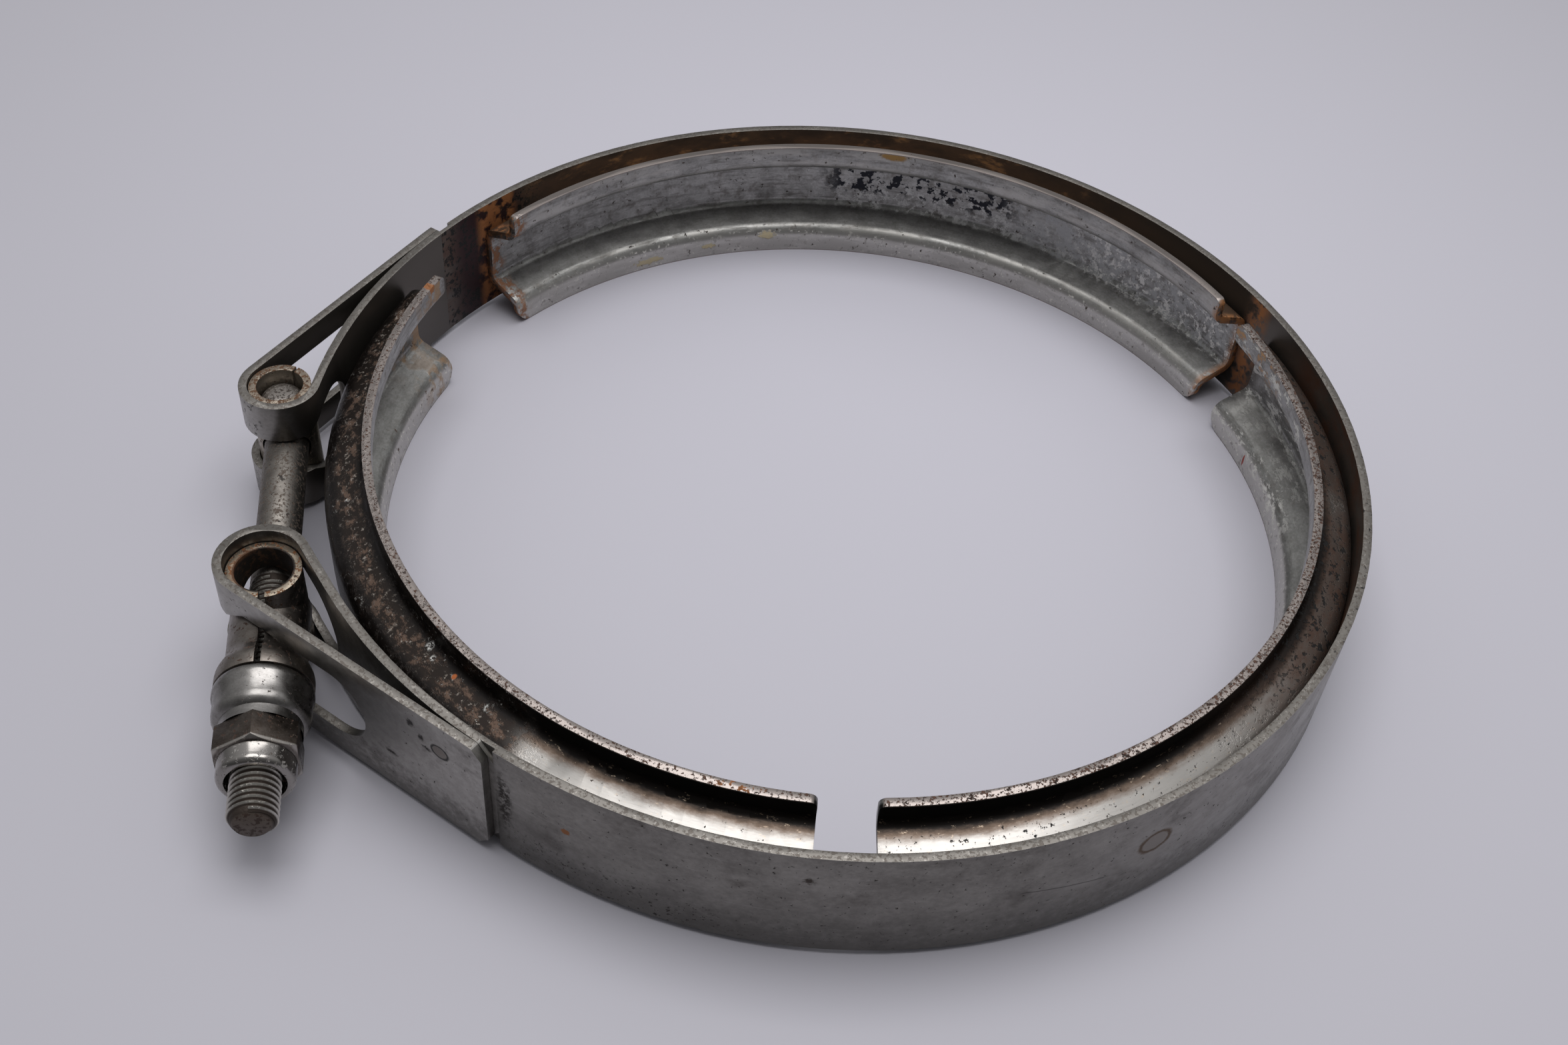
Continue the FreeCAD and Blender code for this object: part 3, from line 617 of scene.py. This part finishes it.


# the upper leg outside: painted shade as a black band by the lip, brown, then a painted reflection making it
# bright by the strap, with a ragged soft border, painted glints, and painted shade at the back of the lip
def shadedReflectingLeg(finish, mask, zone, seed):
    look = legLook
    waves = finish.noise(size=1.6, detail=6, rough=0.72, seed=seed, stretch=(2.4, 1, 1))
    wave = finish.wavy(finish.radius, waves, 2.2)
    finish.layer(mask, look["shadeUnderLip"], rough=0.42, metal=0.8)
    finish.layer((mask, finish.rise(wave, 86.6, 88.0)), look["brown"], rough=0.42, metal=0.9)
    finish.layer((mask, finish.rise(wave, 87.5, 89.2)), look["reflection"], rough=0.3, metal=1.0)
    speckle(finish, (mask, finish.rise(wave, 87.5, 88.2)), look["speck"], size=0.8, share=0.29, seed=seed + 1)
    glints = finish.clouds(0.6, 0.68, size=0.7, detail=5, rough=0.7, seed=seed + 2, stretch=(2, 1, 1))
    finish.layer((mask, glints, 0.5), look["glint"], rough=0.3, metal=1.0)
    finish.layer((mask, zone["lipBack"], finish.rise(finish.z, 9.6, 10.4)), black, rough=0.5, metal=0.7)


# flakes are angle, distance from the ring's centre and size
leftLook = {"brown": tone(112, 90, 76), "grey": tone(172, 162, 152), "shade": tone(22, 17, 15),
            "fleck": tone(196, 110, 60), "ochre": tone(158, 122, 82), "speck": tone(80, 60, 48),
            "sooty": (158, 239, 3), "thickCrust": (219, 237, 4), "thinCrust": (162, 220, 8),
            "reflectingLeg": (238.5, 275, 1.2), "ochreStart": (156, 166, 3), "rustyLip": (259, 264, 1),
            "flakes": ((222.6, 85.9, 1.0), (224.0, 86.7, 0.7), (233.0, 86.6, 0.9), (198.0, 88.0, 0.6)),
            "orangeFleck": (227.5, 86.3, 0.55, 0.4), "rustySpot": (162.5, 13.0, 1.4, 0.8), "pits": 0.38}


def paintLeft():
    look = leftLook
    finish, zone = paintRetainer("leftRetainer")
    sooty = finish.arc(*look["sooty"])
    # the outside: black soot with brown and grey clouds, and painted shade by the lip and by the strap
    finish.layer((zone["back"], sooty), soot, rough=0.42, metal=0.75)
    brown = finish.clouds(0.49, 0.6, size=2.0, detail=6, rough=0.75, seed=22.0, stretch=(1.4, 1, 1))
    finish.layer((zone["back"], sooty, brown, 0.85), look["brown"], rough=0.5, metal=0.5, height=0.04)
    grey = finish.clouds(0.57, 0.65, size=1.1, detail=5, rough=0.75, seed=23.0)
    finish.layer((zone["back"], sooty, grey, 0.85), look["grey"], rough=0.45, metal=0.5, height=0.05)
    # painted shade: the trough is darkened next to the lip and next to the strap
    ragged = finish.wavy(finish.radius, finish.noise(size=2.4, detail=5, rough=0.7, seed=14.0), 2.0)
    shade = finish.either(finish.rise(ragged, 87.6, 86.4), finish.rise(ragged, 89.9, 91.2))
    finish.layer((zone["back"], sooty, shade, 0.92), look["shade"], rough=0.36, metal=0.6)
    # white crust, heaviest before the strap's free end
    thin = finish.number("MULTIPLY", finish.arc(*look["thinCrust"]), 0.5)
    crustArea = finish.either(finish.arc(*look["thickCrust"]), thin)
    grains = finish.clouds(0.58, 0.64, size=0.8, detail=5, rough=0.8, seed=25.0)
    crust = finish.both(grains, finish.rise(brown, 0.3, 0.7), crustArea)
    finish.layer((zone["back"], crust), crustWhite, rough=0.6, metal=0.1, height=0.12)
    flakes = finish.either(*[finish.legSpot(*flake) for flake in look["flakes"]])
    broken = finish.rise(finish.shake(), -0.06, 0.04)
    finish.layer((zone["back"], flakes, broken), crustWhite, rough=0.5, metal=0.1, height=0.15)
    finish.layer((zone["back"], finish.legSpot(*look["orangeFleck"])), look["fleck"], rough=0.8, metal=0.0)
    # from the strap's free end on, the leg gets painted shade under the lip and a painted reflection by the strap
    shadedReflectingLeg(finish, finish.both(finish.arc(*look["reflectingLeg"]), zone["back"]), zone, 27.0)
    # the inside: bluish grey, brown spots, ochre by the bolt's end
    ochre = finish.clouds(0.46, 0.6, size=2.8, detail=5, rough=0.65, seed=29.0, stretch=(1, 1, 1.6))
    ochreArea = finish.both(zone["front"], finish.arc(*look["ochreStart"]), ochre, 0.7)
    finish.layer(ochreArea, look["ochre"], rough=0.7, metal=0.25, height=0.04)
    speckle(finish, zone["front"], look["speck"], size=1.3, share=0.3, seed=30)
    edgeWear(finish, zone, look["pits"])
    rusty = finish.clouds(0.54, 0.6, size=1.0, detail=4, rough=0.6, seed=31.0)
    finish.layer((zone["lipTop"], finish.arc(*look["rustyLip"]), rusty), rustOrange, rough=0.7, metal=0.2)
    rusty = finish.both(finish.spot(*look["rustySpot"]), finish.rise(finish.z, 9, 10))
    finish.layer(rusty, rustOrange, rough=0.7, metal=0.1)
    return finish.close()


rightLook = {"side": tone(92, 76, 67), "brown": tone(82, 56, 43), "shadeUnderLip": tone(30, 24, 21),
             "tan": tone(170, 132, 94), "dash": tone(150, 60, 48), "darkSide": ((322, 359, 12), (355, 30, 6)),
             "tanStart": (15, 28, 3), "whiteStart": (2, 27, 4), "redDash": (16.4, -10.6, 1.7, 0.24), "pits": 0.41}


def paintRight():
    look = rightLook
    finish, zone = paintRetainer("rightRetainer")
    # the outside: painted shade as a black band under the lip, a painted reflection making the leg bright, dark
    # specks, browner round the side
    shadedReflectingLeg(finish, zone["back"], zone, 32.0)
    side = finish.arcs(look["darkSide"])
    brown = finish.clouds(0.4, 0.62, size=2.4, detail=6, rough=0.7, seed=33.0, stretch=(2, 1, 1))
    finish.layer((zone["back"], side, 0.85), look["side"], rough=0.42, metal=0.8)
    finish.layer((zone["back"], side, brown, 0.7), look["brown"], rough=0.5, metal=0.6)
    # painted shade: a black band under the lip round the side
    lipShade = finish.rise(finish.wavy(finish.radius, finish.shake(), 2.0), 87.6, 86.0)
    finish.layer((zone["back"], side, lipShade), look["shadeUnderLip"], rough=0.4, metal=0.7)
    speckle(finish, (zone["back"], side), black, size=1.2, share=0.4, seed=34, height=-0.08)
    speckle(finish, (zone["back"], finish.rise(finish.radius, 86, 87)), black, size=0.9, share=0.32, seed=12)
    # the inside: zinc grey, tan and white at the start, a red dash low down
    tan = finish.clouds(0.5, 0.62, size=2.2, detail=5, rough=0.65, seed=35.0, stretch=(1.4, 1, 1))
    tanArea = finish.both(zone["front"], finish.arc(*look["tanStart"]), finish.rise(finish.z, -3, 3), tan)
    finish.layer(tanArea, look["tan"], rough=0.75, metal=0.1, height=0.04)
    white = finish.clouds(0.52, 0.6, size=1.6, detail=5, rough=0.75, seed=36.0, stretch=(2.2, 1, 1))
    whiteArea = finish.both(zone["front"], finish.arc(*look["whiteStart"]), white)
    finish.layer(whiteArea, crustWhite, rough=0.75, metal=0.1, height=0.05)
    redDash = finish.spot(*look["redDash"], soft=0.4, ragged=0.2)
    finish.layer((redDash, zone["front"]), look["dash"], rough=0.6, metal=0.1)
    edgeWear(finish, zone, look["pits"])
    return finish.close()


backLook = {"behind": tone(84, 66, 52), "mottle": tone(206, 205, 202), "dust": tone(184, 184, 184),
            "lipFilm": tone(172, 169, 164), "ochre": tone(150, 116, 66), "rust": tone(172, 116, 68),
            "rightDust": tone(236, 234, 230), "speck": tone(74, 64, 58), "mottled": (50, 94, 5),
            "blotted": (68, 94, 2), "dusty": (30, 66, 4), "dustyEnd": (29, 58, 5), "rustRight": (28, 31.0, 0.9),
            "rustLeft": (142.6, 146, 0.8), "ochreSpot": (85.2, 12.6, 1.2, 3.4, 0.5), "pits": 0.27,
            "creamSpots": ((103, -9.2, 1.0, 2.2), (121.5, -11.4, 0.9, 4.5), (112, -10.6, 0.7, 2.6))}


def paintBack():
    look = backLook
    finish, zone = paintRetainer("backRetainer")
    finish.layer(zone["back"], look["behind"], rough=0.6, metal=0.6)
    web = finish.both(zone["front"], finish.rise(finish.radius, 88.8, 89.6))
    # blue-black spots and white mottle on the web's right half
    white = finish.clouds(0.5, 0.62, size=1.7, detail=5, rough=0.7, seed=37.0)
    mottled = finish.both(web, finish.arc(*look["mottled"]), white, finish.rise(finish.z, 2.5, -0.5))
    finish.layer(mottled, look["mottle"], rough=0.6, metal=0.3)
    blots = finish.clouds(0.5, 0.56, size=1.5, detail=3, rough=0.5, seed=38.0)
    blotted = finish.both(web, finish.arc(*look["blotted"]), blots, finish.band(finish.z, -2.2, 4.2, 1.0))
    finish.layer(blotted, blueBlack, rough=0.5, metal=0.5)
    dust = finish.clouds(0.44, 0.58, size=2.4, detail=5, rough=0.7, seed=39.0)
    finish.layer((web, finish.arc(*look["dusty"]), dust), look["dust"], rough=0.65, metal=0.35)
    # grey film with long streaks on the lip, ochre and cream spots, rust at the ends
    film = finish.clouds(0.42, 0.6, size=3.0, detail=5, rough=0.65, seed=40.0, stretch=(5, 1, 1))
    lip = finish.rise(finish.radius, 85.5, 84.6)
    finish.layer((zone["front"], lip, film, 0.7), look["lipFilm"], rough=0.42, metal=0.9)
    finish.layer((finish.spot(*look["ochreSpot"]), zone["front"]), look["ochre"], rough=0.7, metal=0.1)
    for mark in look["creamSpots"]:
        creamSpot = finish.spot(*mark, soft=0.4, ragged=1.0)
        finish.layer((creamSpot, zone["front"]), cream, rough=0.8, metal=0.0, height=0.08)
    rusty = finish.clouds(0.38, 0.54, size=1.6, detail=5, rough=0.7, seed=41.0)
    finish.layer((finish.arc(*look["rustRight"]), rusty), look["rust"], rough=0.8, metal=0.1, height=0.05)
    rusty = finish.clouds(0.44, 0.58, size=1.8, detail=5, rough=0.7, seed=42.0)
    finish.layer((finish.arc(*look["rustLeft"]), rusty, 0.85), rustOrange, rough=0.8, metal=0.1, height=0.05)
    dust = finish.clouds(0.52, 0.6, size=1.5, detail=6, rough=0.75, seed=17.0)
    webEnd = finish.both(zone["front"], finish.arc(*look["dustyEnd"]), finish.rise(finish.radius, 88, 89), dust)
    finish.layer(webEnd, look["rightDust"], rough=0.7, metal=0.2)
    speckle(finish, zone["front"], look["speck"], size=1.2, share=0.3, seed=43)
    edgeWear(finish, zone, look["pits"])
    return finish.close()


# lengths in mm, along the bolt from its head's axis or out from the bolt's own axis
boltShape = {"headRadius": 3.95, "headLength": 19.4, "headDome": 2.6, "domeStep": 15, "shankRadius": 3.88,
             "crest": 3.96, "root": 3.3, "coreGap": 0.05, "plainLength": 38.6, "neckRun": 0.6, "length": 86.5,
             "tipRun": 0.7, "tipRadius": 2.75, "pitch": 1.058, "sides": 48, "smooth": 50,
             "crestDrop": 0.08, "rootRise": 0.1, "flanks": (0.2, 0.42, 0.53, 0.64, 0.86)}
boltLook = {"shank": tone(100, 95, 90), "pale": tone(130, 125, 119), "crest": tone(188, 184, 177),
            "root": tone(60, 51, 45), "brown": tone(80, 64, 52), "dirt": tone(38, 32, 28),
            "end": tone(92, 82, 74), "endRust": tone(58, 42, 33), "dome": tone(138, 132, 127),
            "domeSpeck": tone(60, 52, 46), "threadFrom": 38, "rootReach": 3.55, "crestReach": 3.85}


# how far a point is along the bolt from its head's axis, and how far from the bolt's own axis, in mm
def boltPlace(finish):
    pivot = [share / mm for share in joints["bolt_swing"]["pos_m"]]
    way = joints["nut_travel"]["axis"]
    east, north = (finish.number("SUBTRACT", finish.x, pivot[0]), finish.number("SUBTRACT", finish.y, pivot[1]))
    along = finish.number("ADD", finish.number("MULTIPLY", east, way[0]),
                          finish.number("MULTIPLY", north, way[1]))
    side = finish.number("SUBTRACT", finish.number("MULTIPLY", north, way[0]),
                         finish.number("MULTIPLY", east, way[1]))
    return along, finish.reach(side, finish.z)


def paintBolt():
    look = boltLook
    finish = Finish("boltSteel", look["shank"], 0.42)
    mottledSteel(finish, look["pale"], size=2.2, roughHigh=0.5, solid=True)
    speckle(finish, 0.8, look["brown"], size=0.6, share=0.4, seed=44, solid=True)
    speckle(finish, 0.9, look["dirt"], size=1.6, share=0.32, seed=45, solid=True)
    along, reach = boltPlace(finish)
    # painted shade darkens the thread's grooves, and a painted highlight lightens its crests
    threaded = finish.rise(along, look["threadFrom"], look["threadFrom"] + 0.4)
    finish.layer(threaded, look["root"], rough=0.6, metal=0.6)
    crest = finish.both(threaded, finish.rise(reach, look["rootReach"], look["crestReach"]))
    finish.layer(crest, look["crest"], rough=0.32, metal=1.0)
    end = finish.rise(along, boltShape["length"] - 0.5, boltShape["length"] - 0.1)
    finish.layer(end, look["end"], rough=0.5)
    speckle(finish, end, look["endRust"], size=0.8, share=0.44, seed=15, solid=True)
    dome = finish.rise(finish.number("ABSOLUTE", finish.z), 7.0, 8.6)
    finish.layer((dome, 0.8), look["dome"], rough=0.42)
    speckle(finish, dome, look["domeSpeck"], size=0.6, share=0.42, seed=46, solid=True)
    return finish.close()


# head pin, plain core and helical thread, joined
def buildBolt():
    shape = boltShape
    dome, end, sides = shape["headDome"], shape["headLength"] / 2, shape["sides"]
    rounded = [(shape["headRadius"] - dome + dome * math.sin(math.radians(step)), 0,
                end - dome + dome * math.cos(math.radians(step))) for step in range(0, 91, shape["domeStep"])]
    lower = [(x, y, -z) for x, y, z in reversed(rounded)]
    head = drawLine("headPin", [(0, 0, end)] + rounded + lower + [(0, 0, -end)])
    turned(head, "Z", sides)
    tip, neck, inner = shape["length"], shape["plainLength"], shape["root"] + shape["coreGap"]
    core = drawLine("boltCore", [(0, 0, 0), (0, 0, shape["shankRadius"]),
                                 (neck - shape["neckRun"], 0, shape["shankRadius"]), (neck, 0, inner),
                                 (tip - shape["tipRun"], 0, inner), (tip, 0, shape["tipRadius"]), (tip, 0, 0)])
    turned(core, "X", sides)
    pitch = shape["pitch"]
    crest, root = shape["crest"], shape["root"]
    reaches = (root + shape["rootRise"], crest - shape["crestDrop"], crest, crest - shape["crestDrop"],
               root + shape["rootRise"])
    profile = [(0, root), *zip(shape["flanks"], reaches), (1.0, root)]
    thread = drawLine("boltThread", [(neck + share * pitch, 0, reach) for share, reach in profile])
    turned(thread, "X", sides, pitch, int((tip - neck) / pitch) - 1)
    pickNone()
    for piece in (head, core, thread):
        piece.select_set(True)
    bpy.context.view_layer.objects.active = head
    bpy.ops.object.join()
    setOnBolt("threadedBolt", shape["smooth"], paintBolt(), "bolt", "t_bolt")


sleeveLook = {"steel": tone(132, 124, 114), "pale": tone(166, 158, 146), "rim": tone(160, 148, 134),
              "rimRust": tone(96, 68, 46), "speck": tone(70, 52, 40), "rimFrom": 11.1, "rimTo": 11.35}


def paintSleeve():
    look = sleeveLook
    finish = Finish("sleeveSteel", look["steel"], 0.36)
    mottledSteel(finish, look["pale"], size=2.2, solid=True)
    rim = finish.rise(finish.number("ABSOLUTE", finish.z), look["rimFrom"], look["rimTo"])
    finish.layer(rim, look["rim"], rough=0.45)
    speckle(finish, rim, look["rimRust"], size=0.6, share=0.46, seed=47, solid=True)
    speckle(finish, 1.0, look["speck"], size=0.8, share=0.36, seed=48, solid=True)
    return finish.close()


trunnionLook = {"steel": tone(108, 100, 93), "pale": tone(138, 132, 126), "rim": tone(160, 148, 132),
                "rimRust": tone(120, 78, 46), "speck": tone(66, 46, 34), "bore": tone(44, 38, 34),
                "rimFrom": 9.3, "rimTo": 9.46, "boreFrom": 5.2, "boreTo": 4.9}


def paintTrunnion():
    look = trunnionLook
    finish = Finish("trunnionSteel", look["steel"], 0.34)
    mottledSteel(finish, look["pale"], size=2.4, solid=True)
    rim = finish.rise(finish.z, look["rimFrom"], look["rimTo"])
    finish.layer(rim, look["rim"], rough=0.45)
    speckle(finish, rim, look["rimRust"], size=0.7, share=0.42, seed=49, solid=True)
    speckle(finish, 1.0, look["speck"], size=1.0, share=0.36, seed=50, solid=True)
    pivot = [share / mm for share in joints["trunnion_turn"]["pos_m"]]
    across = finish.number("SUBTRACT", finish.x, pivot[0])
    reach = finish.reach(across, finish.number("SUBTRACT", finish.y, pivot[1]))
    # painted shade: the inside of the bore is darkened
    bore = finish.rise(reach, look["boreFrom"], look["boreTo"])
    finish.layer(bore, look["bore"], rough=0.6, metal=0.5)
    crescent = finish.both(finish.rise(across, -2.0, -4.0), finish.rise(finish.z, 8.4, 9.3),
                           finish.rise(reach, 5.8, 5.0))
    finish.layer((crescent, 0.3), rustOrange, rough=0.8, metal=0.1)
    rusty = finish.clouds(0.5, 0.62, size=1.5, detail=5, rough=0.7, seed=51.0, solid=True)
    finish.layer((bore, rusty, 0.4), rustBrown, rough=0.8, metal=0.3)
    return finish.close()


# lengths in mm, along the bolt from its head's axis or out from the bolt's own axis
cupShape = {"rear": 61.3, "length": 8.7, "bore": 4.32, "radius": 8.0, "rimRound": 0.5, "rimFlat": 0.15,
            "rim": 1.5, "rimSlope": 0.4, "waist": 7.72, "shoulderFrom": 5.0, "shoulder": 2.3, "bendTo": 75,
            "bendStep": 15, "mouth": 6.62, "mouthRun": 0.5, "mouthGap": 0.02, "wall": 0.9, "sides": 72,
            "smooth": 40}
cupLook = {"steel": tone(120, 117, 114), "pale": tone(150, 147, 144), "speck": tone(60, 48, 40)}


def paintCup():
    look = cupLook
    finish = Finish("cupSteel", look["steel"], 0.24)
    mottledSteel(finish, look["pale"], size=2.6, roughHigh=0.36, solid=True)
    speckle(finish, 1.0, look["speck"], size=0.8, share=0.3, seed=52, solid=True)
    return finish.close()


# a drawn cup: rolled rim at the stem's side, waist, rounded shoulder and mouth round the nut
def buildCup():
    shape = cupShape
    rear, reach, bend, wall = shape["rear"], shape["radius"], shape["shoulder"], shape["wall"]
    waist, mouth = shape["waist"], shape["mouth"]
    front, start, rim = rear + shape["length"], rear + shape["shoulderFrom"], rear + shape["rim"]
    inner = mouth - shape["mouthGap"]
    angles = [math.radians(step) for step in range(0, shape["bendTo"] + 1, shape["bendStep"])]
    shoulder = [(start + bend * math.sin(angle), 0, waist - bend + bend * math.cos(angle)) for angle in angles]
    outer = [(rear, 0, shape["bore"]), (rear, 0, reach - shape["rimRound"]),
             (rear + shape["rimFlat"], 0, reach - shape["rimFlat"]), (rear + shape["rimRound"], 0, reach),
             (rim, 0, reach), (rim + shape["rimSlope"], 0, waist)]
    lining = [(front, 0, mouth), (front - shape["mouthRun"], 0, inner), (start + bend - wall, 0, inner),
              (start, 0, waist - wall), (rear + wall, 0, waist - wall), (rear + wall, 0, shape["bore"]),
              (rear, 0, shape["bore"])]
    cup = drawLine("swivelCup", outer + shoulder + lining)
    turned(cup, "X", shape["sides"])
    setOnBolt("swivelCup", shape["smooth"], paintCup(), "cup", "nut_cup")


nutLook = {"steel": tone(72, 63, 57), "pale": tone(104, 97, 91), "speck": tone(64, 44, 32),
           "collar": tone(146, 142, 138), "collarSpeck": tone(70, 58, 50), "crown": tone(176, 171, 165),
           "collarFrom": 75.3, "crownFrom": -0.75, "crownTo": -0.25}


def paintNut():
    look = nutLook
    finish = Finish("nutSteel", look["steel"], 0.26)
    mottledSteel(finish, look["pale"], size=2.4, roughHigh=0.4, solid=True)
    speckle(finish, 1.0, look["speck"], size=0.9, share=0.36, seed=53, solid=True)
    along, _ = boltPlace(finish)
    start = look["collarFrom"]
    collar = finish.rise(along, start - 0.3, start + 0.3)
    finish.layer(collar, look["collar"], rough=0.2)
    speckle(finish, (collar, 0.7), look["collarSpeck"], size=0.7, share=0.32, seed=55, solid=True)
    # painted highlight: a bright ring round the nut's crown
    crown = finish.band(along, start + look["crownFrom"], start + look["crownTo"], 0.15)
    finish.layer((crown, 0.8), look["crown"], rough=0.3, metal=1.0)
    return finish.close()


insertLook = {"steel": tone(34, 30, 27), "speck": tone(70, 50, 38)}


def paintInsert():
    finish = Finish("insertSteel", insertLook["steel"], 0.6)
    speckle(finish, 1.0, insertLook["speck"], size=0.6, share=0.4, seed=54, solid=True)
    return finish.close()


# body, slot, width of the broken edge and finish of each piece that keeps its carried shape
pieceRows = {"strap": ("clamp", "strap_steel", 0.16, paintStrap),
             "retainer_left": ("clamp", "retainer_steel", 0.2, paintLeft),
             "retainer_right": ("clamp", "retainer_steel", 0.2, paintRight),
             "retainer_back": ("clamp", "retainer_steel", 0.2, paintBack),
             "head_sleeve": ("bolt", "sleeve_steel", 0.18, paintSleeve),
             "trunnion": ("trunnion", "trunnion_steel", 0.18, paintTrunnion),
             "hex_nut": ("nut", "nut_steel", 0.22, paintNut)}

for name, row in pieceRows.items():
    brokenEdges(name, *row)
buildCup()
buildBolt()
nodes["nut_lock_ring"].data.materials.clear()
nodes["nut_lock_ring"].data.materials.append(paintInsert())
print("the locking insert has its finish")
